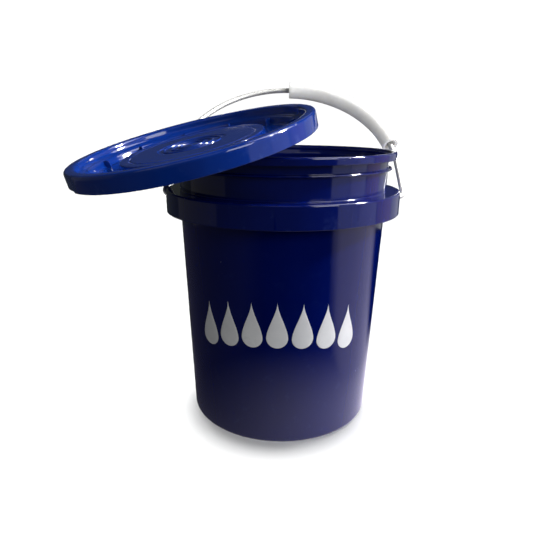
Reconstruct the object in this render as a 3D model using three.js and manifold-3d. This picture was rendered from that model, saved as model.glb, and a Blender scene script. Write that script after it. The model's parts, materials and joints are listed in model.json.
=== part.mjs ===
// Wash bucket: a 19 litre (5 US gallon) plastic pail with its lid slid half off and its wire bail leaning back.
// Millimetres, +Z up. The origin is on the pail's axis, on the surface that it stands on. The bail's two ears
// are on +X and -X, and the stickers are on -Y.
import * as THREE from "three";
import { mergeVertices } from "three/addons/utils/BufferGeometryUtils.js";
import Module from "manifold-3d";

const wasm = await Module();
wasm.setup();

// ---- driving dimensions ----
const FACETS = 56; // sides of every round moulding
const GAP = 0.3; // air between pieces that touch

const PAIL = {
  height: 368,
  wall: 2.3,
  floor: 3.2,
  footHeight: 3, // the floor panel stands this far above the surface
  baseRadius: 129,
  bodyTopRadius: 137.2, // outside, just under the skirt
  neckTopRadius: 137.8, // outside, just under the rim
  rimInnerRadius: 141.3,
  rimRadius: 147.3,
  rimHeight: 9,
  rimRounding: 2.5,
  ribRadius: 142.6,
  ribHeight: 3,
  ribTop: 349,
  skirtRadius: 155.3,
  skirtTop: 319.5,
  skirtBottom: 291.3,
  skirtWall: 2.4,
};
const EAR = { height: 308.9, width: 22, boreRadius: 4, boreDepth: 11.8, gussets: 10, gussetWidth: 2 };

const LID = {
  radius: 150,
  wall: 2,
  skirtHeight: 19.4,
  shoulder: 4, // rounding between the top ring and the skirt
  ringInnerRadius: 137.3,
  ledgeDepth: 9.6, // below the top ring
  plugRadius: 128, // inside of the plug wall, below the ledge
  discRadius: 88,
  discDepth: 9.5, // the raised middle disc, below the top ring
  channelDepth: 20.2,
  panel: 2.2,
  ribs: 12,
  ribPhase: 11, // degrees from the lid's low side
  ribLength: 8,
  ribTop: 11.8,
  ribWidth: 2,
  notchWidth: 70, // shallow prising notch in the skirt's bottom edge
  notchDepth: 2.2,
  notchAngle: -8,
};
// The lid leans on the rim with the underside of its channel; height is that of its top ring's middle.
const LID_POSE = { azimuth: 214.6, slideOut: 132, tilt: 14.8, height: 386.9 };
const CENTRE_RINGS = [15, 25, 35];
const CENTRE_RECESS = 42;
const EDGE_GROOVE = 76.5;

const BAIL = {
  wireRadius: 3.5,
  arcRadius: 158.6,
  arcCentre: 46.5, // height of the arc's centre above the ears, in the bail's plane
  armAngle: 4.7, // degrees by which each arm leans in
  bendRadius: 7,
  lean: 47.5, // degrees back from upright
};
const GRIP = { radius: 11.2, boreRadius: 7.3, from: 17, to: 88.5 }; // degrees along the arc

const DROPS = { count: 7, width: 27, height: 60, span: 190, middle: 171, arch: 11, lift: 0.25, thickness: 0.4 };

const radians = THREE.MathUtils.degToRad;

// ---- helpers ----

// Closed outline from corners of [radius, height, rounding].
function outline(corners, steps = 2, closed = true) {
  const path = new THREE.Path();
  const last = corners.length - 1;
  corners.forEach(([x, y, rounding = 0], i) => {
    const corner = new THREE.Vector2(x, y);
    if (rounding === 0) {
      if (i === 0) path.moveTo(x, y);
      else path.lineTo(x, y);
      return;
    }
    const before = new THREE.Vector2(...corners[i === 0 ? last : i - 1]);
    const after = new THREE.Vector2(...corners[i === last ? 0 : i + 1]);
    const start = corner.clone().lerp(before, rounding / corner.distanceTo(before));
    const end = corner.clone().lerp(after, rounding / corner.distanceTo(after));
    if (i === 0) path.moveTo(start.x, start.y);
    else path.lineTo(start.x, start.y);
    path.quadraticCurveTo(x, y, end.x, end.y);
  });
  if (closed) path.closePath();
  return path.getPoints(steps);
}

// Solid of revolution about Z.
function revolve(points) {
  return new THREE.LatheGeometry(points, FACETS).rotateX(Math.PI / 2);
}

function solidOf(geometry) {
  const bare = geometry.clone();
  bare.deleteAttribute("normal");
  bare.deleteAttribute("uv");
  const merged = mergeVertices(bare, 1e-4);
  const corners = merged.index.array;
  const triVerts = [];
  for (let i = 0; i < corners.length; i += 3) {
    const [a, b, c] = [corners[i], corners[i + 1], corners[i + 2]];
    if (a !== b && b !== c && c !== a) triVerts.push(a, b, c);
  }
  const vertProperties = Float32Array.from(merged.attributes.position.array);
  return new wasm.Manifold(new wasm.Mesh({ numProp: 3, vertProperties, triVerts: Uint32Array.from(triVerts) }));
}

function geometryOf(solid) {
  const mesh = solid.getMesh();
  const geometry = new THREE.BufferGeometry();
  geometry.setAttribute("position", new THREE.BufferAttribute(Float32Array.from(mesh.vertProperties), 3));
  geometry.setIndex(new THREE.BufferAttribute(Uint32Array.from(mesh.triVerts), 1));
  return geometry;
}

function piece(name, geometry, material) {
  const mesh = new THREE.Mesh(geometry, new THREE.MeshStandardMaterial(material));
  mesh.name = name;
  return mesh;
}

// Block between two radii, at an angle about Z.
function radialBlock(inner, outer, width, bottom, top, angle) {
  const block = new THREE.BoxGeometry(outer - inner, width, top - bottom);
  block.translate((inner + outer) / 2, 0, (bottom + top) / 2);
  return block.rotateZ(angle);
}

// A curve in the XZ plane that follows a two-dimensional path.
class UprightCurve extends THREE.Curve {
  constructor(path) {
    super();
    this.path = path;
  }
  getPoint(t) {
    const point = this.path.getPoint(t);
    return new THREE.Vector3(point.x, 0, point.y);
  }
}

// ---- materials ----
const bluePlastic = { color: 0x0b1f8a, roughness: 0.22, metalness: 0 };
const lidPlastic = { color: 0x1436b4, roughness: 0.22, metalness: 0 };
const sealRubber = { color: 0xb9bcc0, roughness: 0.7, metalness: 0 };
const zincWire = { color: 0xb8bcbf, roughness: 0.3, metalness: 1 };
const whitePlastic = { color: 0xe9ece8, roughness: 0.4, metalness: 0 };
const whiteVinyl = { color: 0xe6e7e9, roughness: 0.35, metalness: 0 };

// ---- pail ----
function bodyRadius(z) {
  return PAIL.baseRadius + ((PAIL.bodyTopRadius - PAIL.baseRadius) * z) / PAIL.skirtBottom;
}

// Half section of the pail, from the middle of its underside round the outside to the middle of its floor.
function pailSection() {
  const p = PAIL;
  const rimBottom = p.height - p.rimHeight;
  const ribBottom = p.ribTop - p.ribHeight;
  const skirtInside = p.skirtRadius - p.skirtWall;
  const inside = p.wall;
  const floorTop = p.footHeight + p.floor;
  return outline(
    [
      [0, 0],
      [17, 0],
      [19, p.footHeight],
      [59, p.footHeight],
      [60, 0.8],
      [64, 0.8],
      [65, p.footHeight],
      [110, p.footHeight],
      [112, 0],
      [p.baseRadius, 0, 5],
      [p.bodyTopRadius + 0.6, p.skirtTop - p.skirtWall],
      [skirtInside, p.skirtTop - p.skirtWall],
      [skirtInside, p.skirtBottom],
      [p.skirtRadius + 0.3, p.skirtBottom, 0.8],
      [p.skirtRadius, p.skirtTop, 2.6],
      [p.bodyTopRadius - 0.2, p.skirtTop, 1],
      [p.bodyTopRadius + 0.3, ribBottom, 0.6],
      [p.ribRadius, ribBottom + 0.4, 1],
      [p.ribRadius, p.ribTop - 0.4, 1],
      [p.bodyTopRadius + 0.4, p.ribTop, 0.6],
      [p.neckTopRadius + 0.6, p.height - 3.2],
      [p.rimRadius - 2.8, p.height - 3.2],
      [p.rimRadius - 2.8, rimBottom],
      [p.rimRadius, rimBottom, 0.8],
      [p.rimRadius, p.height, p.rimRounding],
      [p.rimInnerRadius, p.height, 1],
      [p.neckTopRadius - inside, p.height - 13, 3],
      [bodyRadius(floorTop) - inside, floorTop, 6],
      [0, floorTop],
    ],
    2,
    false,
  );
}

// Blocks under the skirt: one round each bore for the bail, and thin gussets between them.
function skirtBlocks() {
  const outer = PAIL.skirtRadius - 1;
  const inner = PAIL.bodyTopRadius - 1;
  const top = PAIL.skirtTop - 1;
  const bottom = PAIL.skirtBottom + 2.5;
  const blocks = [];
  for (const side of [0, Math.PI]) {
    blocks.push(radialBlock(inner, outer, EAR.width, bottom, top, side));
    for (let i = 1; i <= EAR.gussets / 2; i += 1) {
      const angle = side + (i * Math.PI) / (EAR.gussets / 2 + 1);
      blocks.push(radialBlock(inner, outer, EAR.gussetWidth, bottom + 2, top, angle));
    }
  }
  return blocks;
}

function pail() {
  let solid = solidOf(revolve(pailSection()));
  for (const block of skirtBlocks()) solid = solid.add(solidOf(block));
  const boreLength = 2 * EAR.boreDepth;
  for (const side of [-1, 1]) {
    const bore = new THREE.CylinderGeometry(EAR.boreRadius, EAR.boreRadius, boreLength, 20);
    bore.rotateZ(Math.PI / 2).translate(side * PAIL.skirtRadius, 0, EAR.height);
    solid = solid.subtract(solidOf(bore));
  }
  return piece("bucket", geometryOf(solid), bluePlastic);
}

// ---- stickers: plain water drops, curved to the wall ----
function dropShape() {
  const half = DROPS.width / 2;
  const bottom = -DROPS.height / 2;
  const shape = new THREE.Shape();
  shape.moveTo(0, DROPS.height / 2);
  shape.bezierCurveTo(-3, 12, -half, 2, -half, bottom + half);
  shape.absarc(0, bottom + half, half, Math.PI, 2 * Math.PI, false);
  shape.bezierCurveTo(half, 2, 3, 12, 0, DROPS.height / 2);
  return shape;
}

function stickers() {
  const low = DROPS.middle - DROPS.height;
  const high = DROPS.middle + DROPS.height;
  const inner = DROPS.lift;
  const outer = DROPS.lift + DROPS.thickness;
  const film = solidOf(
    revolve(
      outline([
        [bodyRadius(low) + inner, low],
        [bodyRadius(low) + outer, low],
        [bodyRadius(high) + outer, high],
        [bodyRadius(high) + inner, high],
      ]),
    ),
  );
  const reach = 2 * PAIL.baseRadius;
  const drops = [];
  for (let i = 0; i < DROPS.count; i += 1) {
    const along = (2 * i) / (DROPS.count - 1) - 1; // -1 at the left end, 1 at the right end
    const cutter = new THREE.ExtrudeGeometry(dropShape(), { depth: reach, bevelEnabled: false, curveSegments: 5 });
    cutter.rotateX(Math.PI / 2);
    cutter.translate(0, 0, DROPS.middle - DROPS.arch * along * along);
    cutter.rotateZ((along * DROPS.span) / 2 / bodyRadius(DROPS.middle));
    drops.push(piece(`drop_sticker_${i + 1}`, geometryOf(film.intersect(solidOf(cutter))), whiteVinyl));
  }
  return drops;
}

// ---- lid, drawn upright with its top ring at height 0 ----
function lidSection() {
  const l = LID;
  const disc = -l.discDepth;
  const channel = -l.channelDepth;
  const recess = disc - 1;
  const rings = CENTRE_RINGS.flatMap((r) => [
    [r - 1.2, recess],
    [r, recess + 1.1],
    [r + 1.2, recess],
  ]);
  return outline(
    [
      [0, recess - l.panel],
      [CENTRE_RECESS, recess - l.panel],
      [CENTRE_RECESS + 1, disc - l.panel],
      [l.discRadius - 2.4, disc - l.panel],
      [l.discRadius + 0.4, channel - l.wall],
      [l.plugRadius + 0.6, channel - l.wall, 3],
      [l.plugRadius + 2.2, -l.ledgeDepth - 4],
      [l.ringInnerRadius + 1.4, -l.ledgeDepth - 1.6],
      [l.ringInnerRadius + 1.8, -l.wall],
      [l.radius - l.wall, -l.wall, 3],
      [l.radius - l.wall, -l.skirtHeight],
      [l.radius, -l.skirtHeight, 0.8],
      [l.radius - 0.2, 0, l.shoulder],
      [l.ringInnerRadius, 0, 2.5],
      [l.ringInnerRadius - 1.5, 0.4 - l.ledgeDepth, 2],
      [l.plugRadius + 1, -l.ledgeDepth - 2.4, 1.5],
      [l.plugRadius - 1.6, channel, 2],
      [l.discRadius + 2.6, channel],
      [l.discRadius, disc, 0.8],
      [EDGE_GROOVE + 1.2, disc],
      [EDGE_GROOVE, disc - 0.6],
      [EDGE_GROOVE - 1.2, disc],
      [CENTRE_RECESS, disc],
      [CENTRE_RECESS - 1, recess],
      ...rings.reverse(),
      [0, recess],
    ],
    2,
    false,
  );
}

// Short fin between the lid's plug wall and its channel.
function lidRib(angle) {
  const foot = -LID.channelDepth - 0.5;
  const tip = LID.plugRadius - LID.ribLength;
  const web = new THREE.Shape();
  web.moveTo(LID.plugRadius + 0.8, -LID.ribTop);
  web.lineTo(LID.plugRadius + 0.8, foot);
  web.lineTo(tip, foot);
  web.lineTo(tip + 0.4, -LID.ribTop - 3);
  web.lineTo(tip + 1.8, -LID.ribTop - 0.8);
  web.lineTo(tip + 4, -LID.ribTop);
  const rib = new THREE.ExtrudeGeometry(web, { depth: LID.ribWidth, bevelEnabled: false });
  return rib.translate(0, 0, -LID.ribWidth / 2).rotateX(Math.PI / 2).rotateZ(angle);
}

function lid() {
  let solid = solidOf(revolve(lidSection()));
  for (let i = 0; i < LID.ribs; i += 1) {
    solid = solid.add(solidOf(lidRib(radians(LID.ribPhase) + (i * 2 * Math.PI) / LID.ribs)));
  }
  const edge = -LID.skirtHeight;
  const notch = radialBlock(LID.radius - 8, LID.radius + 8, LID.notchWidth, edge - 2, edge + LID.notchDepth, 0);
  solid = solid.subtract(solidOf(notch.rotateZ(radians(LID.notchAngle))));
  return piece("lid", geometryOf(solid), lidPlastic);
}

// Sealing ring under the lid's top ring.
function lidGasket() {
  const inner = LID.ringInnerRadius + 2.6;
  const outer = LID.radius - LID.wall - 1.6;
  const top = -LID.wall - GAP;
  const section = outline([
    [inner, top - 2.4],
    [outer, top - 2.4],
    [outer - 1.6, top],
    [inner, top],
  ]);
  return piece("lid_gasket", revolve(section), sealRubber);
}

function lidGroup() {
  const group = new THREE.Group();
  group.add(lid(), lidGasket());
  const azimuth = radians(LID_POSE.azimuth);
  group.rotation.set(0, radians(LID_POSE.tilt), azimuth, "ZYX");
  const { slideOut, height } = LID_POSE;
  group.position.set(slideOut * Math.cos(azimuth), slideOut * Math.sin(azimuth), height);
  return group;
}

// ---- bail, drawn upright with its ears at height 0 ----
function bailPath() {
  const arm = radians(BAIL.armAngle);
  const turn = Math.PI / 2 + arm;
  const earX = BAIL.arcRadius / Math.cos(arm) + BAIL.arcCentre * Math.tan(arm);
  const bendX = earX - BAIL.bendRadius * Math.tan(turn / 2);
  const endX = PAIL.skirtRadius - EAR.boreDepth + 1.5;
  const path = new THREE.Path();
  path.moveTo(endX, 0);
  path.absarc(bendX, BAIL.bendRadius, BAIL.bendRadius, -Math.PI / 2, arm, false);
  path.absarc(0, BAIL.arcCentre, BAIL.arcRadius, arm, Math.PI - arm, false);
  path.absarc(-bendX, BAIL.bendRadius, BAIL.bendRadius, Math.PI - arm, 1.5 * Math.PI, false);
  path.lineTo(-endX, 0);
  return path;
}

function bailWire() {
  const round = new THREE.Shape();
  round.absarc(0, 0, BAIL.wireRadius, 0, 2 * Math.PI, false);
  const extrudePath = new UprightCurve(bailPath());
  return piece("bail_wire", new THREE.ExtrudeGeometry(round, { steps: 110, curveSegments: 4, extrudePath }), zincWire);
}

function bailGrip() {
  const ring = new THREE.Shape();
  ring.absarc(0, 0, GRIP.radius, 0, 2 * Math.PI, false);
  const bore = new THREE.Path();
  bore.absarc(0, 0, GRIP.boreRadius, 0, 2 * Math.PI, true);
  ring.holes.push(bore);
  const path = new THREE.Path();
  path.absarc(0, BAIL.arcCentre, BAIL.arcRadius, radians(GRIP.from), radians(GRIP.to), false);
  const extrudePath = new UprightCurve(path);
  return piece("bail_grip", new THREE.ExtrudeGeometry(ring, { steps: 16, curveSegments: 7, extrudePath }), whitePlastic);
}

function bailGroup() {
  const group = new THREE.Group();
  group.add(bailWire(), bailGrip());
  group.position.set(0, 0, EAR.height);
  group.rotation.x = -radians(BAIL.lean);
  return group;
}

// ---- assembly ----
const washBucket = new THREE.Group();
washBucket.name = "wash_bucket";
washBucket.add(pail(), ...stickers(), lidGroup(), bailGroup());

export default washBucket;
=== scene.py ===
import json
import math

import bmesh
import bpy
from mathutils import Matrix, Vector


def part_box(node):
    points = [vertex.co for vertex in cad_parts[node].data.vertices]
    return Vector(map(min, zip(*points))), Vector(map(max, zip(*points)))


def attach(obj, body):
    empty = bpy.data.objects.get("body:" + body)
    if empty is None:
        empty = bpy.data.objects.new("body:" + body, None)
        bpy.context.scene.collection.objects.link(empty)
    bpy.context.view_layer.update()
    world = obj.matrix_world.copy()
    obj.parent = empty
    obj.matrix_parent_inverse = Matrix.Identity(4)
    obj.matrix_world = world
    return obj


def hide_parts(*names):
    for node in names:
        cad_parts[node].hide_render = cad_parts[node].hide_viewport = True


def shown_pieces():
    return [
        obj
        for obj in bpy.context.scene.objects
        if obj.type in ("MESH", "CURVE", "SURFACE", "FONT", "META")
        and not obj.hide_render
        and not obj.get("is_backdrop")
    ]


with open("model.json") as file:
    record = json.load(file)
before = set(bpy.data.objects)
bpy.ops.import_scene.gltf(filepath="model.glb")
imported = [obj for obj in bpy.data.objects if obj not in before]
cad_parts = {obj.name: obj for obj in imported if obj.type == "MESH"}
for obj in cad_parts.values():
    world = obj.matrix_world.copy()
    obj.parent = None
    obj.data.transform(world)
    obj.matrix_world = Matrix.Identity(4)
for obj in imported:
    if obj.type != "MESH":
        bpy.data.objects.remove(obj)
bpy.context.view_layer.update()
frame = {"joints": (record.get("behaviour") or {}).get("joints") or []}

MM = 0.001
POINT_RADIUS = 1e-6  # a ring smaller than this, in mm, is one point
JOINTS = {joint["name"]: joint for joint in frame["joints"]}

# ---- dimensions that the CAD model was made to, in millimetres ----
PAIL = dict(
    wall=2.3, foot_height=3, floor=3.2, base_radius=129, top_radius=137.2, neck_radius=137.8, rim_inner=141.3,
    rim_radius=147.3, rim_height=9, rib_radius=142.6, rib_height=3, rib_top=349, skirt_radius=155.3,
    skirt_top=319.5, skirt_bottom=291.3, skirt_wall=2.4,
)
EAR = dict(width=22, bore_radius=4, bore_depth=11.8, gussets=10, gusset_width=2)
LID = dict(
    radius=150, wall=2, skirt_height=19.4, ring_inner=137.3, ledge=9.6, plug=128, disc=88, disc_depth=9.5,
    channel_depth=20.2, panel=2.2, recess=42, groove=76.5, ribs=12, rib_phase=11, rib_length=8, rib_top=11.8,
    rib_width=2, notch_width=70, notch_depth=2.2, notch_angle=-8,
)
LID_RINGS = (15, 25, 35)
LID_TILT = 14.8
LID_AZIMUTH = 214.6  # the side that the lid slopes down to, anticlockwise from +X
BAIL = dict(wire=3.5, arc=158.6, arm_angle=4.7, bend=7)
GRIP = dict(radius=11.2, bore=7.3, start=17, end=88.5)
DROPS = dict(count=7, width=27, height=60, span=190, middle=171, rows=44, columns=12, face=0.16, back=0.12)
# Fine upright moulding lines on the pail: angle, lowest, highest and how proud.
PARTING_LINES = (
    (268.6, 292.5, 316.5, 0.16), (301.5, 292.5, 316.5, 0.1), (286.5, 321, 345, 0.08), (297, 321, 345, 0.08),
)

pail_low, pail_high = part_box("bucket")
PAIL_HEIGHT = (pail_high.z - pail_low.z) / MM
EAR_POINT = Vector(JOINTS["bail_swing"]["pos_m"])
ARC_POINT = Vector(JOINTS["grip_slide"]["pos_m"])


# ---- mesh helpers ----
def rounded(corners, steps=5, closed=False):
    """Section points from corners of (radius, height, rounding). Close points hold each rounding's ends flat."""
    points = []
    count = len(corners)
    for i, corner in enumerate(corners):
        here = Vector(corner[:2])
        rounding = corner[2] if len(corner) > 2 else 0
        at_end = not closed and i in (0, count - 1)
        if rounding == 0 or at_end:
            points.append(here)
            continue
        before, after = Vector(corners[i - 1][:2]), Vector(corners[(i + 1) % count][:2])
        start = here + (before - here).normalized() * rounding
        end = here + (after - here).normalized() * rounding
        hold = min(0.35, rounding * 0.4)
        if (before - start).length > 3 * hold:
            points.append(start + (before - start).normalized() * hold)
        for k in range(steps + 1):
            t = k / steps
            points.append(start * (1 - t) ** 2 + here * 2 * t * (1 - t) + end * t * t)
        if (after - end).length > 3 * hold:
            points.append(end + (after - end).normalized() * hold)
    return points


def finished(name, mesh, material, sharp=32):
    """A smooth-shaded object from a bmesh."""
    data = bpy.data.meshes.new(name)
    bmesh.ops.recalc_face_normals(mesh, faces=mesh.faces)
    mesh.to_mesh(data)
    mesh.free()
    piece = bpy.data.objects.new(name, data)
    bpy.context.scene.collection.objects.link(piece)
    smooth(piece, sharp)
    if material:
        data.materials.append(material)
    return piece


def smooth(piece, sharp=32):
    piece.data.polygons.foreach_set("use_smooth", [True] * len(piece.data.polygons))
    piece.data.set_sharp_from_angle(angle=math.radians(sharp))


def ring_mesh(rings, closed):
    """Skin over a list of rings of points. A ring of one point closes the skin."""
    mesh = bmesh.new()
    made = [[mesh.verts.new(point) for point in ring] for ring in rings]
    pairs = list(zip(made, made[1:]))
    if closed:
        pairs.append((made[-1], made[0]))
    for low, high in pairs:
        sides = max(len(low), len(high))
        for k in range(sides):
            n = (k + 1) % sides
            if len(low) == 1:
                mesh.faces.new((low[0], high[n], high[k]))
            elif len(high) == 1:
                mesh.faces.new((low[k], low[n], high[0]))
            else:
                mesh.faces.new((low[k], low[n], high[n], high[k]))
    return mesh


def lathe(name, section, material, sides=216, closed=False, lines=()):
    """Solid of revolution about Z. lines are (angle, lowest, highest, proud) of fine upright moulding lines."""
    angles = {round(k * 360 / sides, 4) for k in range(sides)}
    for angle, *_ in lines:
        angles |= {round((angle + step) % 360, 4) for step in (-0.26, -0.1, 0.1, 0.26)}
    angles = sorted(angles)
    rings = []
    for radius, height in section:
        if radius < POINT_RADIUS:
            rings.append([Vector((0, 0, height)) * MM])
            continue
        ring = []
        for degrees in angles:
            out = radius
            for angle, low, high, proud in lines:
                apart = abs((degrees - angle + 180) % 360 - 180)
                if apart < 0.15 and low < height < high and radius > pail_outside(height) - 0.5:
                    out += proud
            turn = math.radians(degrees)
            ring.append(Vector((out * math.cos(turn), out * math.sin(turn), height)) * MM)
        rings.append(ring)
    return finished(name, ring_mesh(rings, closed), material)


def sweep(name, place, stations, material, sides, closed=False):
    """Tube along a path. stations are (distance, radius).

    place(distance) gives the centre and two cross directions.
    """
    rings = []
    for along, radius in stations:
        centre, across, over = place(along)
        if radius < POINT_RADIUS:
            rings.append([centre])
            continue
        turns = [k * 2 * math.pi / sides for k in range(sides)]
        rings.append([centre + (across * math.cos(t) + over * math.sin(t)) * radius * MM for t in turns])
    return finished(name, ring_mesh(rings, closed), material)


def block(mesh, size, matrix, bevel=0.0, draft=0.0):
    """Adds a box of size (x, y, z) in mm, centred, narrowed at its low end by draft, with its edges bevelled."""
    part = bmesh.new()
    bmesh.ops.create_cube(part, size=1)
    for vert in part.verts:
        vert.co = Vector(c * s for c, s in zip(vert.co, size))
        if vert.co.z < 0:
            vert.co.y *= 1 - draft
    if bevel:
        bmesh.ops.bevel(part, geom=part.edges[:], offset=bevel, segments=2, affect="EDGES", profile=0.5)
    part.transform(matrix)
    add_mesh(mesh, part)


def prism(mesh, outline, width, matrix, bevel=0.0):
    """Adds a flat plate with this outline in X and Z, of this width in Y, in mm."""
    part = bmesh.new()
    near = [part.verts.new((x, -width / 2, z)) for x, z in outline]
    far = [part.verts.new((x, width / 2, z)) for x, z in outline]
    part.faces.new(near)
    part.faces.new(far[::-1])
    for k in range(len(outline)):
        n = (k + 1) % len(outline)
        part.faces.new((near[n], near[k], far[k], far[n]))
    if bevel:
        bmesh.ops.bevel(part, geom=part.edges[:], offset=bevel, segments=2, affect="EDGES", profile=0.5)
    part.transform(matrix)
    add_mesh(mesh, part)


def add_mesh(mesh, part):
    bmesh.ops.recalc_face_normals(part, faces=part.faces)
    part.transform(Matrix.Scale(MM, 4))
    data = bpy.data.meshes.new("part")
    part.to_mesh(data)
    part.free()
    mesh.from_mesh(data)
    bpy.data.meshes.remove(data)


def combine(piece, tool_mesh, operation):
    """Joins a mesh of tools to the piece, or cuts them out of it."""
    tool = finished("tool", tool_mesh, None)
    change = piece.modifiers.new("combine", "BOOLEAN")
    change.operation = operation
    change.solver = "MANIFOLD"
    change.object = tool
    bpy.context.view_layer.update()
    result = bpy.data.meshes.new_from_object(piece.evaluated_get(bpy.context.evaluated_depsgraph_get()))
    piece.modifiers.clear()
    old, piece.data = piece.data, result
    bpy.data.meshes.remove(old)
    bpy.data.objects.remove(tool)
    result.name = piece.name
    smooth(piece)


def turned(degrees):
    return Matrix.Rotation(math.radians(degrees), 4, "Z")


def mark_wear(piece, keys):
    """Stores how near each vertex is to a rubbed edge: keys are (radius, height, reach) in the section, in mm."""
    values = []
    for vert in piece.data.vertices:
        radius, height = math.hypot(vert.co.x, vert.co.y) / MM, vert.co.z / MM
        near = 0.0
        for key_radius, key_height, reach in keys:
            apart = math.hypot(radius - key_radius, height - key_height)
            near = max(near, math.exp(-((apart / reach) ** 2)))
        values.append(near)
    piece.data.attributes.new("wear", "FLOAT", "POINT").data.foreach_set("value", values)


# ---- materials ----
class Nodes:
    """Short calls for building one material's node tree."""

    def __init__(self, name):
        self.material = bpy.data.materials.new(name)
        self.material.use_nodes = True
        self.tree = self.material.node_tree
        self.shader = self.tree.nodes["Principled BSDF"]
        self.coordinates = self.tree.nodes.new("ShaderNodeTexCoord")

    def link(self, source, target):
        self.tree.links.new(source, target)

    def set(self, **values):
        for socket, value in values.items():
            self.shader.inputs[socket.replace("_", " ")].default_value = value

    def mapped(self, scale, rotation=(0, 0, 0), source="Object"):
        node = self.tree.nodes.new("ShaderNodeMapping")
        node.inputs["Scale"].default_value = scale
        node.inputs["Rotation"].default_value = [math.radians(angle) for angle in rotation]
        self.link(self.coordinates.outputs[source], node.inputs["Vector"])
        return node.outputs["Vector"]

    def noise(self, vector, scale=1.0, detail=3.0, roughness=0.5):
        node = self.tree.nodes.new("ShaderNodeTexNoise")
        for socket, value in (("Scale", scale), ("Detail", detail), ("Roughness", roughness)):
            node.inputs[socket].default_value = value
        self.link(vector, node.inputs["Vector"])
        return node.outputs["Fac"]

    def cells(self, vector):
        node = self.tree.nodes.new("ShaderNodeTexVoronoi")
        node.inputs["Scale"].default_value = 1.0
        self.link(vector, node.inputs["Vector"])
        return node

    def ramp(self, value, low, high, out_low=0.0, out_high=1.0):
        node = self.tree.nodes.new("ShaderNodeMapRange")
        node.interpolation_type = "SMOOTHSTEP"
        for socket, number in (("From Min", low), ("From Max", high), ("To Min", out_low), ("To Max", out_high)):
            node.inputs[socket].default_value = number
        self.link(value, node.inputs["Value"])
        return node.outputs["Result"]

    def math(self, operation, first, second=None):
        node = self.tree.nodes.new("ShaderNodeMath")
        node.operation = operation
        for socket, value in zip(node.inputs, (first, second)):
            if isinstance(value, (int, float)):
                socket.default_value = value
            elif value is not None:
                self.link(value, socket)
        return node.outputs[0]

    def mix(self, amount, first, second):
        node = self.tree.nodes.new("ShaderNodeMix")
        node.data_type = "RGBA"
        self.link(amount, node.inputs["Factor"])
        for index, value in ((6, first), (7, second)):
            if isinstance(value, tuple):
                node.inputs[index].default_value = (*value, 1)
            else:
                self.link(value, node.inputs[index])
        return node.outputs[2]

    def attribute(self, name):
        node = self.tree.nodes.new("ShaderNodeAttribute")
        node.attribute_name = name
        return node.outputs["Fac"]

    def bump(self, height, distance, under=None):
        node = self.tree.nodes.new("ShaderNodeBump")
        node.inputs["Strength"].default_value = 1.0
        node.inputs["Distance"].default_value = distance
        self.link(height, node.inputs["Height"])
        if under is not None:
            self.link(under, node.inputs["Normal"])
        return node.outputs["Normal"]

    def finish(self, colour=None, roughness=None, normal=None):
        for source, socket in ((colour, "Base Color"), (roughness, "Roughness"), (normal, "Normal")):
            if source is not None:
                self.link(source, self.shader.inputs[socket])
        return self.material

    def strokes(self, rotation, length=9, spacing=170, width=0.05):
        """Sparse short scratches. They run upright, and the rotation picks which cells of the pattern show."""
        vector = self.mapped((spacing, spacing, length), rotation)
        found = self.cells(vector)
        line = self.ramp(found.outputs["Distance"], width, 0.0)
        chosen = self.ramp(self.noise(self.mapped((14, 14, 14), rotation), 1, 2), 0.52, 0.62)
        return self.math("MULTIPLY", line, chosen)


def blue_plastic(name, deep, plain, scuffed, gloss):
    """Glossy moulded polyethylene: cloudy pigment, flow streaks, dust specks, scratches and rubbed edges. The base
    colours given to it carry painted shade for the pail and painted sunlight for the lid.
    """
    n = Nodes(name)
    clouds = n.noise(n.mapped((7, 7, 7)), 1, 2, 0.45)
    streaks = n.noise(n.mapped((55, 55, 2.2)), 1, 3)
    tone = n.math("ADD", n.math("MULTIPLY", clouds, 0.7), n.math("MULTIPLY", streaks, 0.3))
    colour = n.mix(n.ramp(tone, 0.32, 0.68), deep, plain)
    grime = n.noise(n.mapped((60, 60, 60)), 1, 8, 0.65)
    wear = n.math("MULTIPLY", n.attribute("wear"), n.ramp(grime, 0.56, 0.7))
    colour = n.mix(n.math("MULTIPLY", wear, 0.3), colour, scuffed)
    strokes = n.math("MAXIMUM", n.strokes((18, 0, 35)), n.strokes((74, 12, 0), 7, 210, 0.045))
    strokes = n.math("MAXIMUM", strokes, n.strokes((-55, 30, 70), 8, 190, 0.04))
    colour = n.mix(n.math("MULTIPLY", strokes, 0.32), colour, scuffed)
    dots = n.cells(n.mapped((230, 230, 230)))
    size = n.ramp(n.noise(n.mapped((31, 31, 31)), 1, 2), 0.5, 0.75, 0.0, 0.16)
    few = n.math("LESS_THAN", dots.outputs["Color"], 0.3)
    patch = n.ramp(n.noise(n.mapped((9, 9, 9)), 1, 3), 0.52, 0.62)
    specks = n.math("MULTIPLY", n.math("LESS_THAN", dots.outputs["Distance"], size), few)
    specks = n.math("MULTIPLY", specks, patch)
    colour = n.mix(n.math("MULTIPLY", specks, 0.3), colour, (0.42, 0.42, 0.5))
    rough = n.ramp(grime, 0.3, 0.8, gloss, gloss + 0.025)
    rough = n.math("ADD", rough, n.math("MULTIPLY", strokes, 0.18))
    rough = n.math("ADD", rough, n.math("MULTIPLY", specks, 0.35))
    rough = n.math("ADD", rough, n.math("MULTIPLY", wear, 0.22))
    waves = n.bump(n.noise(n.mapped((24, 24, 13)), 1, 2), 0.00013)
    peel = n.bump(n.noise(n.mapped((700, 700, 700)), 1, 2), 0.0000015, under=waves)
    marks = n.bump(n.math("SUBTRACT", specks, strokes), 0.00003, under=peel)
    n.set(Specular_IOR_Level=0.5, IOR=1.5)
    return n.finish(colour, rough, marks)


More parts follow.
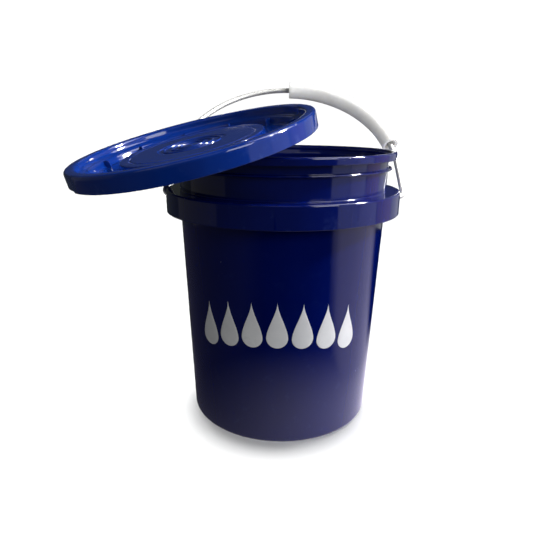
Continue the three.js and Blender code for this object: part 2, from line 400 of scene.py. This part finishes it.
def grip_plastic():
    n = Nodes("white_grip_plastic")
    around = n.noise(n.mapped((140, 5, 1), source="UV"), 1, 3)
    clouds = n.noise(n.mapped((28, 28, 28)), 1, 5, 0.6)
    colour = n.mix(n.ramp(clouds, 0.35, 0.72), (0.80, 0.80, 0.78), (0.70, 0.69, 0.67))
    grime = n.ramp(n.noise(n.mapped((95, 95, 95)), 1, 7, 0.7), 0.58, 0.78)
    colour = n.mix(n.math("MULTIPLY", grime, 0.35), colour, (0.42, 0.39, 0.36))
    rough = n.ramp(clouds, 0.3, 0.8, 0.30, 0.46)
    lines = n.bump(around, 0.00004)
    peel = n.bump(n.noise(n.mapped((420, 420, 420)), 1, 3), 0.00002, under=lines)
    n.set(Subsurface_Weight=0.18, Subsurface_Radius=(0.004, 0.0035, 0.003), Subsurface_Scale=1.0)
    return n.finish(colour, rough, peel)


def zinc_wire():
    n = Nodes("galvanised_wire")
    spangle = n.cells(n.mapped((190, 190, 190)))
    grain = n.ramp(spangle.outputs["Distance"], 0.1, 0.7)
    colour = n.mix(grain, (0.86, 0.85, 0.80), (0.74, 0.74, 0.71))
    dull = n.ramp(n.noise(n.mapped((70, 70, 70)), 1, 7, 0.7), 0.52, 0.75)
    colour = n.mix(n.math("MULTIPLY", dull, 0.5), colour, (0.45, 0.43, 0.40))
    rough = n.math("ADD", n.ramp(grain, 0, 1, 0.3, 0.4), n.math("MULTIPLY", dull, 0.2))
    drawn = n.bump(n.noise(n.mapped((90, 3, 1), source="UV"), 1, 3), 0.00003)
    pits = n.bump(n.noise(n.mapped((600, 600, 600)), 1, 4), 0.00001, under=drawn)
    n.set(Metallic=0.45)
    return n.finish(colour, rough, pits)


def white_vinyl():
    n = Nodes("white_vinyl")
    clouds = n.noise(n.mapped((22, 22, 22)), 1, 5, 0.6)
    colour = n.mix(n.ramp(clouds, 0.35, 0.7), (0.80, 0.80, 0.80), (0.73, 0.73, 0.74))
    scuff = n.ramp(n.noise(n.mapped((120, 120, 120)), 1, 8, 0.7), 0.62, 0.8)
    colour = n.mix(n.math("MULTIPLY", scuff, 0.4), colour, (0.5, 0.5, 0.52))
    rough = n.ramp(clouds, 0.3, 0.8, 0.26, 0.42)
    ripple = n.bump(n.noise(n.mapped((45, 45, 45)), 1, 3), 0.00012)
    peel = n.bump(n.noise(n.mapped((900, 900, 900)), 1, 2), 0.000006, under=ripple)
    return n.finish(colour, rough, peel)


def seal_rubber():
    n = Nodes("grey_seal_rubber")
    clouds = n.noise(n.mapped((80, 80, 80)), 1, 6, 0.6)
    colour = n.mix(n.ramp(clouds, 0.3, 0.75), (0.42, 0.43, 0.45), (0.33, 0.34, 0.36))
    rough = n.ramp(clouds, 0.3, 0.8, 0.6, 0.8)
    return n.finish(colour, rough, n.bump(n.noise(n.mapped((500, 500, 500)), 1, 4), 0.00003))


GLOSS = 0.06  # roughness of the blue plastic where it is clean
# The pail and the lid are the same blue plastic. The pail's darker deep, plain and scuffed blues are painted shade,
# for its body standing out of the light.
PAIL_BLUE_PAINTED_SHADE = blue_plastic(
    "pail_blue_painted_shade", (0.0004, 0.0042, 0.080), (0.0006, 0.0054, 0.095), (0.04, 0.07, 0.24), GLOSS
)
# The lid's brighter deep, plain and scuffed blues are painted sunlight, for the light falling on its top and inner
# wall.
LID_BLUE_PAINTED_SUNLIGHT = blue_plastic(
    "lid_blue_painted_sunlight", (0.0020, 0.022, 0.190), (0.0028, 0.028, 0.220), (0.06, 0.12, 0.4), GLOSS
)
GRIP_WHITE = grip_plastic()
WIRE_ZINC = zinc_wire()
VINYL = white_vinyl()
SEAL = seal_rubber()


# ---- pail ----
def pail_outside(height):
    """Outside radius of the pail at a height: its tapered wall, or its skirt."""
    if PAIL["skirt_bottom"] < height < PAIL["skirt_top"] + 1:
        return PAIL["skirt_radius"]
    return PAIL["base_radius"] + (PAIL["top_radius"] - PAIL["base_radius"]) * height / PAIL["skirt_bottom"]


def pail_section():
    p = PAIL
    height = PAIL_HEIGHT
    lip = height - p["rim_height"]
    rib = p["rib_top"] - p["rib_height"]
    skirt_inside = p["skirt_radius"] - p["skirt_wall"]
    ceiling = p["skirt_top"] - p["skirt_wall"]
    floor_top = p["foot_height"] + p["floor"]
    wall_at = pail_outside(floor_top)
    return rounded(
        [
            (0, 0.9), (3, 0.9, 0.4), (4, 0, 0.4), (17, 0, 0.5), (19, p["foot_height"], 0.7),
            (59, p["foot_height"], 0.5), (60, 0.8, 0.4), (64, 0.8, 0.4), (65, p["foot_height"], 0.5),
            (110, p["foot_height"], 0.8), (112, 0, 0.8), (p["base_radius"], 0, 5),
            (p["top_radius"] + 0.6, ceiling, 1), (skirt_inside, ceiling, 1), (skirt_inside, p["skirt_bottom"], 0.7),
            (p["skirt_radius"] + 0.3, p["skirt_bottom"], 0.9), (p["skirt_radius"], p["skirt_top"], 2.6),
            (p["top_radius"] - 0.2, p["skirt_top"], 1), (p["top_radius"] + 0.3, rib, 0.7),
            (p["rib_radius"], rib + 0.4, 1.2), (p["rib_radius"], p["rib_top"] - 0.4, 1.2),
            (p["top_radius"] + 0.4, p["rib_top"], 0.7), (p["neck_radius"] + 0.6, height - 3.2, 0.8),
            (p["rim_radius"] - 2.8, height - 3.2, 0.7), (p["rim_radius"] - 2.8, lip, 0.7),
            (p["rim_radius"], lip, 1.1), (p["rim_radius"], height, 2.5), (p["rim_inner"], height, 1.2),
            (p["neck_radius"] - p["wall"], height - 13, 3), (wall_at - p["wall"], floor_top, 6), (60, floor_top),
            (12, floor_top, 1),
            (10, floor_top + 0.5, 0.8), (0, floor_top + 0.5),
        ]
    )


def make_pail():
    piece = lathe("pail_body", pail_section(), PAIL_BLUE_PAINTED_SHADE, lines=PARTING_LINES)
    outer, inner = PAIL["skirt_radius"] - 1, PAIL["top_radius"] - 1
    top, bottom = PAIL["skirt_top"] - 1, PAIL["skirt_bottom"] + 2.5
    middle = Matrix.Translation(((outer + inner) / 2, 0, (top + bottom) / 2))
    webs = bmesh.new()
    for side in (0, 180):
        block(webs, (outer - inner, EAR["width"], top - bottom), turned(side) @ middle, 1.2, 0.06)
        half = EAR["gussets"] // 2
        for i in range(1, half + 1):
            place = turned(side + i * 180 / (half + 1)) @ Matrix.Translation((0, 0, 1)) @ middle
            block(webs, (outer - inner, EAR["gusset_width"], top - bottom - 2), place, 0.4, 0.2)
    combine(piece, webs, "UNION")
    bores = bmesh.new()
    reach, depth = EAR["bore_radius"], EAR["bore_depth"]
    corners = [(0, -depth), (reach, -depth, 0.6), (reach, -0.7, 0.5), (reach + 1.4, 0.6), (reach + 1.4, 4), (0, 4)]
    profile = rounded(corners)
    turns = [k * math.pi / 18 for k in range(36)]
    at_ear = Matrix.Translation((PAIL["skirt_radius"], 0, EAR_POINT.z / MM)) @ Matrix.Rotation(math.pi / 2, 4, "Y")
    for side in (0, 180):
        rings = [
            [Vector((r * math.cos(t), r * math.sin(t), h)) for t in (turns if r > POINT_RADIUS else [0])]
            for r, h in profile
        ]
        bore = ring_mesh(rings, False)
        bore.transform(turned(side) @ at_ear)
        add_mesh(bores, bore)
    combine(piece, bores, "DIFFERENCE")
    mark_wear(
        piece,
        [
            (PAIL["rim_radius"] - 1, PAIL_HEIGHT - 0.6, 2.2),
            (PAIL["rim_inner"], PAIL_HEIGHT, 1.4),
            (PAIL["rim_radius"], PAIL_HEIGHT - PAIL["rim_height"], 1.2),
            (PAIL["rib_radius"], PAIL["rib_top"] - 1.5, 1.4),
            (PAIL["skirt_radius"] - 0.5, PAIL["skirt_top"] - 0.6, 1.8),
            (PAIL["skirt_radius"], PAIL["skirt_bottom"], 1.4),
            (PAIL["base_radius"] - 1, 1, 4.5),
        ],
    )
    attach(piece, "pail")
    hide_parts("bucket")


# ---- stickers ----
def drop_half_width(t):
    """Half width of the drop outline, as a share of its width, at a share t of its height from the tip down."""
    round_part = DROPS["width"] / 2 / DROPS["height"]
    if t > 1 - round_part:
        y = (t - (1 - round_part)) / round_part
        return 0.5 * math.sqrt(max(0.0, 1 - y * y))
    s = t / (1 - round_part)
    return 0.5 * (0.22 * s + 0.78 * s * s * (3 - 2 * s)) if s < 1 else 0.5


def make_sticker(index):
    """A cut-vinyl drop that follows the wall, with a thin rounded edge."""
    low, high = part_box(f"drop_sticker_{index + 1}")
    middle = (low + high) / 2
    along = 2 * index / (DROPS["count"] - 1) - 1
    heading = along * DROPS["span"] / 2 / pail_outside(DROPS["middle"])
    centre_height = middle.z / MM
    rows, columns = DROPS["rows"], DROPS["columns"]
    mesh = bmesh.new()

    def on_wall(x, z, out):
        radius = pail_outside(z) + out
        turn = heading + x / pail_outside(z) - math.pi / 2
        return Vector((radius * math.cos(turn), radius * math.sin(turn), z)) * MM

    grid = []
    for i in range(rows + 1):
        share = (1 - math.cos(math.pi * i / rows)) / 2
        z = centre_height + DROPS["height"] * (0.5 - share)
        half = drop_half_width(share) * DROPS["width"]
        row = []
        for j in range(columns + 1):
            across = -math.cos(math.pi * j / columns)
            edge = min(1.0, 1.6 * math.sin(math.pi * j / columns) + 1e-3, 8 * share + 1e-3, 8 * (1 - share) + 1e-3)
            row.append((half * across, z, 0.02 + DROPS["face"] * math.sqrt(edge)))
        grid.append(row)
    top = {}
    for i, row in enumerate(grid):
        for j, (x, z, out) in enumerate(row):
            if i in (0, rows):
                if (i, 0) not in top:
                    top[(i, 0)] = mesh.verts.new(on_wall(0, z, out))
                top[(i, j)] = top[(i, 0)]
            else:
                top[(i, j)] = mesh.verts.new(on_wall(x, z, out))
    for i in range(rows):
        for j in range(columns):
            corners = [top[(i, j)], top[(i, j + 1)], top[(i + 1, j + 1)], top[(i + 1, j)]]
            unique = list(dict.fromkeys(corners))
            mesh.faces.new(unique)
    under = bmesh.ops.extrude_face_region(mesh, geom=mesh.faces[:])
    for vert in (v for v in under["geom"] if isinstance(v, bmesh.types.BMVert)):
        radius = math.hypot(vert.co.x, vert.co.y)
        keep = (pail_outside(vert.co.z / MM) - DROPS["back"]) * MM / radius
        vert.co.x *= keep
        vert.co.y *= keep
    piece = finished(f"vinyl_drop_{index + 1}", mesh, VINYL, 50)
    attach(piece, "pail")
    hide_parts(f"drop_sticker_{index + 1}")


# ---- lid ----
def lid_section():
    l = LID
    disc, channel = -l["disc_depth"], -l["channel_depth"]
    recess = disc - 1
    rings = []
    for r in reversed(LID_RINGS):
        rings += [(r + 1.3, recess, 0.2), (r + 1.1, recess + 1.1, 0.9)]
        rings += [(r - 1.1, recess + 1.1, 0.9), (r - 1.3, recess, 0.2)]
    return rounded(
        [
            (0, recess - l["panel"]), (l["recess"], recess - l["panel"], 0.4),
            (l["recess"] + 1, disc - l["panel"], 0.4),
            (l["disc"] - 2.4, disc - l["panel"], 0.8), (l["disc"] + 0.4, channel - l["wall"], 0.8),
            (l["plug"] + 0.6, channel - l["wall"], 3), (l["plug"] + 2.2, -l["ledge"] - 4, 1.2),
            (l["ring_inner"] + 1.4, -l["ledge"] - 1.6, 1.2), (l["ring_inner"] + 1.8, -l["wall"], 0.8),
            (l["radius"] - l["wall"], -l["wall"], 3), (l["radius"] - l["wall"], -l["skirt_height"], 0.6),
            (l["radius"], -l["skirt_height"], 0.9), (l["radius"] - 0.2, 0, 4), (l["ring_inner"], 0, 3.6),
            (l["ring_inner"] - 1.5, 0.4 - l["ledge"], 3.2), (l["plug"] + 1, -l["ledge"] - 2.4, 2.6),
            (l["plug"] - 1.6, channel, 3), (l["disc"] + 2.6, channel, 1.4), (l["disc"], disc, 1.0),
            (l["groove"] + 1.6, disc, 0.8),
            (l["groove"] + 0.3, disc - 0.55, 0.4), (l["groove"] - 0.3, disc - 0.55, 0.3),
            (l["groove"] - 1.6, disc, 0.8), (l["recess"], disc, 0.7), (l["recess"] - 1.2, recess, 0.5),
            *rings, (2.2, recess, 0.4), (1.4, recess + 0.4, 0.3), (0, recess + 0.4),
        ]
    )


def lid_matrix():
    """The lid's place: its top ring's middle, found from the CAD lid's box, and its tilt."""
    turn = Matrix.Rotation(math.radians(LID_AZIMUTH), 4, "Z") @ Matrix.Rotation(math.radians(LID_TILT), 4, "Y")
    normal = turn.to_3x3() @ Vector((0, 0, 1))
    low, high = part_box("lid")
    section = lid_section()
    centre = Vector()
    for axis in range(3):
        spread = math.sqrt(1 - normal[axis] ** 2)
        highest = max(point[0] * spread + point[1] * normal[axis] for point in section) * MM
        lowest = min(-point[0] * spread + point[1] * normal[axis] for point in section) * MM
        centre[axis] = (high[axis] - highest + low[axis] - lowest) / 2
    return Matrix.Translation(centre) @ turn


def make_lid(place):
    piece = lathe("lid_moulding", lid_section(), LID_BLUE_PAINTED_SUNLIGHT, sides=216)
    l = LID
    ribs = bmesh.new()
    tip, foot = -l["rib_top"], -l["channel_depth"] - 0.5
    outer, inner = l["plug"] + 0.8, l["plug"] - l["rib_length"]
    web = [(outer, tip), (outer, foot), (inner, foot)]
    web += [(inner + 0.4, tip - 3), (inner + 1.8, tip - 0.8), (inner + 4, tip)]
    for i in range(l["ribs"]):
        prism(ribs, web, l["rib_width"], turned(l["rib_phase"] + i * 360 / l["ribs"]), 0.35)
    combine(piece, ribs, "UNION")
    notch = bmesh.new()
    half, below, top = l["notch_width"] / 2, -l["skirt_height"] - 3, l["notch_depth"] - l["skirt_height"]
    outline = [(-half - 1.5, below), (half + 1.5, below), (half - 1.5, top), (-half + 1.5, top)]
    prism(notch, outline, 16, turned(l["notch_angle"]) @ Matrix.Translation((l["radius"], 0, 0)) @ turned(90))
    combine(piece, notch, "DIFFERENCE")
    mark_wear(
        piece,
        [
            (l["radius"] - 1, -1, 2.6), (l["ring_inner"], 0, 1.2), (l["radius"], -l["skirt_height"], 1.6),
            (l["disc"], -l["disc_depth"], 0.9), *[(r, -l["disc_depth"], 1) for r in LID_RINGS],
        ],
    )
    piece.data.transform(place)
    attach(piece, "lid")
    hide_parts("lid")


def make_gasket(place):
    inner, outer = LID["ring_inner"] + 2.6, LID["radius"] - LID["wall"] - 1.6
    top = -LID["wall"] - 0.3
    corners = [(inner, top - 2.4, 0.9), (outer, top - 2.4, 0.9), (outer - 1.6, top, 0.5), (inner, top, 0.5)]
    piece = lathe("lid_seal", rounded(corners, closed=True), SEAL, sides=160, closed=True)
    piece.data.transform(place)
    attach(piece, "lid")
    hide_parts("lid_gasket")


# ---- bail ----
WIRE_SIDES, GRIP_SIDES = 24, 48


def bail_directions():
    """The bail's plane: sideways along the ears, upwards along its middle, and across."""
    up = (ARC_POINT - EAR_POINT).normalized()
    side = Vector((1, 0, 0))
    return side, up, side.cross(up)


def wire_path():
    """Points of the wire's middle line, in its plane, in mm, from the right ear to the left one."""
    arm = math.radians(BAIL["arm_angle"])
    rise = (ARC_POINT - EAR_POINT).length / MM
    ear = BAIL["arc"] / math.cos(arm) + rise * math.tan(arm)
    bend = ear - BAIL["bend"] * math.tan((math.pi / 2 + arm) / 2)
    end = PAIL["skirt_radius"] - EAR["bore_depth"] + 1.5
    right = [(end + (bend - end) * k / 3, 0) for k in range(3)]
    for k in range(15):
        turn = -math.pi / 2 + (math.pi / 2 + arm) * k / 14
        right.append((bend + BAIL["bend"] * math.cos(turn), BAIL["bend"] * (1 + math.sin(turn))))
    low = right[-1]
    high = (BAIL["arc"] * math.cos(arm), rise + BAIL["arc"] * math.sin(arm))
    right += [(low[0] + (high[0] - low[0]) * k / 8, low[1] + (high[1] - low[1]) * k / 8) for k in range(1, 8)]
    steps = 150
    arc = []
    for k in range(steps + 1):
        turn = arm + (math.pi - 2 * arm) * k / steps
        arc.append((BAIL["arc"] * math.cos(turn), rise + BAIL["arc"] * math.sin(turn)))
    return right + arc + [(-x, y) for x, y in reversed(right)]


def add_sweep_uv(piece, sides):
    """UV: across is the share of the way round, up is the distance along in steps of 10 mm."""
    layer = piece.data.uv_layers.new(name="UVMap")
    for loop in piece.data.loops:
        index = loop.vertex_index
        layer.data[loop.index].uv = ((index % sides) / sides, (index // sides) * 0.2)


def make_wire():
    side, up, across = bail_directions()
    path = [EAR_POINT + side * x * MM + up * y * MM for x, y in wire_path()]
    lengths = [0.0]
    for a, b in zip(path, path[1:]):
        lengths.append(lengths[-1] + (b - a).length / MM)

    def place(along):
        for i in range(len(path) - 1):
            if along <= lengths[i + 1] or i == len(path) - 2:
                share = (along - lengths[i]) / (lengths[i + 1] - lengths[i])
                break
        before = (path[i + 1] - path[max(i - 1, 0)]).normalized()
        after = (path[min(i + 2, len(path) - 1)] - path[i]).normalized()
        tangent = before.lerp(after, share).normalized()
        return path[i].lerp(path[i + 1], share), tangent.cross(across).normalized(), across

    radius, edge = BAIL["wire"], 0.9
    turns = [k * math.pi / 8 for k in range(5)]
    ends = [(edge * (1 - math.cos(t)), radius - edge + edge * math.sin(t)) for t in turns]
    total = lengths[-1]
    stations = [(0, 0), *ends]
    stations += [(s, radius) for s in lengths if 1.2 < s < total - 1.2]
    stations += [(total - s, r) for s, r in reversed(ends)] + [(total, 0)]
    piece = sweep("bail_steel_wire", place, stations, WIRE_ZINC, WIRE_SIDES)
    add_sweep_uv(piece, WIRE_SIDES)
    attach(piece, "bail")
    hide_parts("bail_wire")


def make_grip():
    side, up, across = bail_directions()
    start, end = math.radians(GRIP["start"]), math.radians(GRIP["end"])
    total = (end - start) * BAIL["arc"]

    def place(along):
        turn = start + along / BAIL["arc"]
        out = side * math.cos(turn) + up * math.sin(turn)
        return ARC_POINT + out * BAIL["arc"] * MM, out, across

    outer, bore, edge = GRIP["radius"], GRIP["bore"], 0.7
    steps = 56
    stations = [(0, outer - edge), (edge * 0.3, outer - edge * 0.3), (edge, outer)]
    stations += [(edge + (total - 2 * edge) * k / steps, outer) for k in range(1, steps)]
    stations += [(total - edge, outer), (total - edge * 0.3, outer - edge * 0.3), (total, outer - edge)]
    stations += [(total, bore + 0.5), (total - 0.2, bore + 0.15), (total - 0.6, bore)]
    stations += [(total - 1 - (total - 2) * k / steps, bore) for k in range(steps + 1)]
    stations += [(0.6, bore), (0.2, bore + 0.15), (0, bore + 0.5)]
    piece = sweep("grip_tube", place, stations, GRIP_WHITE, GRIP_SIDES, closed=True)
    add_sweep_uv(piece, GRIP_SIDES)
    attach(piece, "grip")
    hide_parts("bail_grip")


# ---- stage, lights and camera ----
FLOOR_RADIUS, BACKDROP_RADIUS, BACKDROP_GLOW = 30, 29, 1.05
SHADE_HEIGHT = 0.052  # of the unseen disc that casts the pail's contact shadow
# Name, azimuth, elevation, spread and energy of the floor's own lights. The first casts no shadow.
FLOOR_LIGHTS = (("floor_light", 180, 80, 10, 0.9), ("floor_back_light", 180, 62, 44, 3.5))
# Each light's name, azimuth, elevation, distance, size, radiance and colour.
LIGHTS = (
    ("key", 92, 40.5, 2.4, (0.22, 0.22), 370),
    ("top_right", 90, 60, 1.8, (1.0, 1.0), 6.4),
    ("front_right", 42, 25, 2.0, (0.8, 0.8), 6.4),
    ("front_left", -35, 35, 2.0, (0.9, 0.9), 0.55),
    ("front", 0, 45, 2.2, (1.2, 0.8), 0.5),
    ("right_strip_1", 62, -4, 1.5, (0.56, 2.7), 0.75, (0.72, 0.76, 1)),
    ("right_strip_2", 84.5, -4, 1.5, (0.6, 2.7), 0.95, (0.74, 0.74, 1)),
    ("right_strip_3", 109, -4, 1.5, (0.64, 2.7), 0.55, (0.9, 0.7, 1)),
    ("right_strip_4", 134, 0, 1.5, (0.66, 2.2), 0.5),
    ("left_strip", 275, 5, 1.6, (1.6, 1.9), 0.07, (1, 0.95, 0.95)),
    ("back", 190, 42, 1.8, (1.6, 0.6), 0.18),
)
BACK_FILLS = (("back_fill_right", 155, 8, 2, (1, 1), 3), ("back_fill_left", 225, 8, 2, (1, 1), 3))  # diffuse only
GLINT = ("glint", 92, 40.5, 2.4, (0.26, 0.26), 2600)  # gloss only
GRIP_FILL = ("grip_fill", 0, 0, 2, (1, 1), 5.9)  # grip only


# Pan is in degrees; pitch and roll are in radians.
CAMERA = dict(lens=33.64, shift_y=0.0743, pan=-3.19, pitch=0.357, roll=0.0062, place=(0.0178, -0.6894, 0.4042))


def direction(azimuth, elevation):
    """Unit vector towards a place round the object: azimuth 0 is the front, -Y, and 90 is the right, +X."""
    a, e = math.radians(azimuth), math.radians(elevation)
    return Vector((math.sin(a) * math.cos(e), -math.cos(a) * math.cos(e), math.sin(e)))


def lamp(name, azimuth, elevation, distance, size, radiance, colour=(1, 1, 1), receivers=None, target=(0, 0, 0.2)):
    """A soft rectangular light that faces the object. radiance is how bright its face is."""
    data = bpy.data.lights.new(name, "AREA")
    data.shape = "RECTANGLE"
    data.size, data.size_y = size
    data.color = colour
    data.energy = radiance * size[0] * size[1] * math.pi
    lamp_object = bpy.data.objects.new(name, data)
    bpy.context.scene.collection.objects.link(lamp_object)
    back = direction(azimuth, elevation)
    lamp_object.location = Vector(target) + back * distance
    lamp_object.rotation_euler = (-back).to_track_quat("-Z", "Y").to_euler()
    if receivers:
        lamp_object.light_linking.receiver_collection = receivers
    return lamp_object


def soft_sun(name, azimuth, elevation, spread, energy, receivers):
    """A far light of this spread in degrees, for the receivers only."""
    data = bpy.data.lights.new(name, "SUN")
    data.energy = energy
    data.angle = math.radians(spread)
    sun = bpy.data.objects.new(name, data)
    bpy.context.scene.collection.objects.link(sun)
    sun.rotation_euler = (-direction(azimuth, elevation)).to_track_quat("-Z", "Y").to_euler()
    sun.light_linking.receiver_collection = receivers
    return sun


def plain(name, colour, strength=None):
    """A matt stage material, which glows in its own colour where a strength is given."""
    material = bpy.data.materials.new(name)
    material.use_nodes = True
    shader = material.node_tree.nodes["Principled BSDF"]
    shader.inputs["Base Color"].default_value = (*colour, 1)
    shader.inputs["Roughness"].default_value = 0.9
    shader.inputs["Specular IOR Level"].default_value = 0.1
    if strength is not None:
        shader.inputs["Emission Color"].default_value = (*colour, 1)
        shader.inputs["Emission Strength"].default_value = strength
    return material


def disc(name, radius, height, material):
    """A flat round stage piece, level, at this height over the origin."""
    mesh = bmesh.new()
    bmesh.ops.create_circle(mesh, cap_ends=True, segments=96, radius=radius)
    mesh.transform(Matrix.Translation((0, 0, height)))
    piece = finished(name, mesh, material)
    piece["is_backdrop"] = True
    return piece


def floor_glow_material():
    """Light that the pale floor throws back up: near the pail and fading outwards, brighter towards the right."""
    n = Nodes("floor_glow")
    away = n.tree.nodes.new("ShaderNodeVectorMath")
    away.operation = "LENGTH"
    n.link(n.coordinates.outputs["Object"], away.inputs[0])
    heading = n.tree.nodes.new("ShaderNodeVectorMath")
    heading.operation = "NORMALIZE"
    n.link(n.coordinates.outputs["Object"], heading.inputs[0])
    split = n.tree.nodes.new("ShaderNodeSeparateXYZ")
    n.link(heading.outputs["Vector"], split.inputs["Vector"])
    fading = n.ramp(away.outputs["Value"], 0.16, 0.42, 1.4, 0.0)
    near = n.math("MULTIPLY", fading, n.ramp(split.outputs["X"], -1.3, 1.1))
    right = n.ramp(split.outputs["X"], 0.78, 0.93, 0.0, 0.95)
    left = n.ramp(split.outputs["X"], -0.2, -0.7, 0.0, 0.045)
    n.link(n.math("MAXIMUM", near, n.math("MAXIMUM", left, right)), n.shader.inputs["Emission Strength"])
    n.set(Base_Color=(0, 0, 0, 1), Emission_Color=(0.9, 0.84, 1, 1), Specular_IOR_Level=0.0)
    return n.material


def show_only(piece, *rays):
    """Hides a stage piece from every kind of ray but these."""
    for ray in ("camera", "diffuse", "glossy", "transmission", "shadow"):
        setattr(piece, "visible_" + ray, ray in rays)


def group(name, *pieces):
    """A collection for light linking. It isn't part of the scene."""
    made = bpy.data.collections.new(name)
    for piece in pieces:
        made.objects.link(piece)
    return made


def make_surroundings():
    """The floor and backdrop, and the cards that stand for what the floor does to the light."""
    floor = disc("floor", FLOOR_RADIUS, pail_low.z, plain("pale_floor", (0.9, 0.9, 0.9)))
    floor.visible_glossy = floor.visible_diffuse = False
    mesh = bmesh.new()
    bmesh.ops.create_uvsphere(mesh, u_segments=64, v_segments=32, radius=BACKDROP_RADIUS)
    material = plain("white_backdrop", (0, 0, 0))
    shader = material.node_tree.nodes["Principled BSDF"]
    shader.inputs["Emission Color"].default_value = (1, 1, 1, 1)
    shader.inputs["Emission Strength"].default_value = BACKDROP_GLOW
    backdrop = finished("backdrop", mesh, material)
    show_only(backdrop, "camera")
    backdrop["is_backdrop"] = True
    show_only(disc("floor_glow", 1.35, pail_low.z - 0.002, floor_glow_material()), "glossy", "transmission")
    bounce = plain("floor_bounce", (0.96, 0.96, 1), 0.18)
    show_only(disc("floor_bounce", 0.9, pail_low.z - 0.004, bounce), "diffuse", "transmission")
    grey = plain("contact_shade", (0.5, 0.5, 0.5))
    shade = disc("contact_shade", PAIL["base_radius"] * MM, pail_low.z + SHADE_HEIGHT, grey)
    show_only(shade, "shadow", "transmission")
    return floor, backdrop, shade


def make_stage():
    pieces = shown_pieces()
    floor, backdrop, shade = make_surroundings()
    only_floor = group("floor_lit", floor)
    for light, blockers in zip(FLOOR_LIGHTS, (group("no_shaders", backdrop), group("floor_shaders", shade))):
        soft_sun(*light, receivers=only_floor).light_linking.blocker_collection = blockers

    shown, shaders = group("object_lit", *pieces), group("object_shaders", *pieces)
    for light in LIGHTS:
        lamp(*light, receivers=shown).light_linking.blocker_collection = shaders
    white = group("grip_lit", bpy.data.objects["grip_tube"])
    grip_fill = lamp(*GRIP_FILL, receivers=white, target=tuple(ARC_POINT))
    grip_fill.light_linking.blocker_collection = white
    for light in BACK_FILLS:
        lamp(*light, receivers=shown).visible_glossy = False
    lamp(*GLINT, receivers=shown).visible_diffuse = False

    world = bpy.data.worlds.new("studio")
    bpy.context.scene.world = world
    world.use_nodes = True
    background = world.node_tree.nodes["Background"]
    background.inputs["Color"].default_value = (0.9, 1, 0.9, 1)
    background.inputs["Strength"].default_value = 0.042
    bpy.context.scene.view_settings.view_transform = "Standard"
    bpy.context.scene.view_settings.look = "None"


def make_camera():
    """The photo's camera, fitted to the pail's round edges."""
    data = bpy.data.cameras.new("camera")
    camera = bpy.data.objects.new("camera", data)
    bpy.context.scene.collection.objects.link(camera)
    bpy.context.scene.camera = camera
    data.sensor_width = 36
    data.lens = CAMERA["lens"]
    data.shift_y = CAMERA["shift_y"]
    data.clip_start, data.clip_end = 0.01, 100
    pan, pitch, roll = math.radians(CAMERA["pan"]), CAMERA["pitch"], CAMERA["roll"]
    forward = Vector((math.sin(pan) * math.cos(pitch), math.cos(pan) * math.cos(pitch), -math.sin(pitch)))
    right = Vector((math.cos(pan), -math.sin(pan), 0))
    up = right.cross(forward)
    side = right * math.cos(roll) + up * math.sin(roll)
    rise = up * math.cos(roll) - right * math.sin(roll)
    turn = Matrix((side, rise, -forward)).transposed()
    camera.matrix_world = Matrix.Translation(CAMERA["place"]) @ turn.to_4x4()


make_camera()
make_pail()
for number in range(DROPS["count"]):
    make_sticker(number)
LID_PLACE = lid_matrix()
make_lid(LID_PLACE)
make_gasket(LID_PLACE)
make_wire()
make_grip()
make_stage()
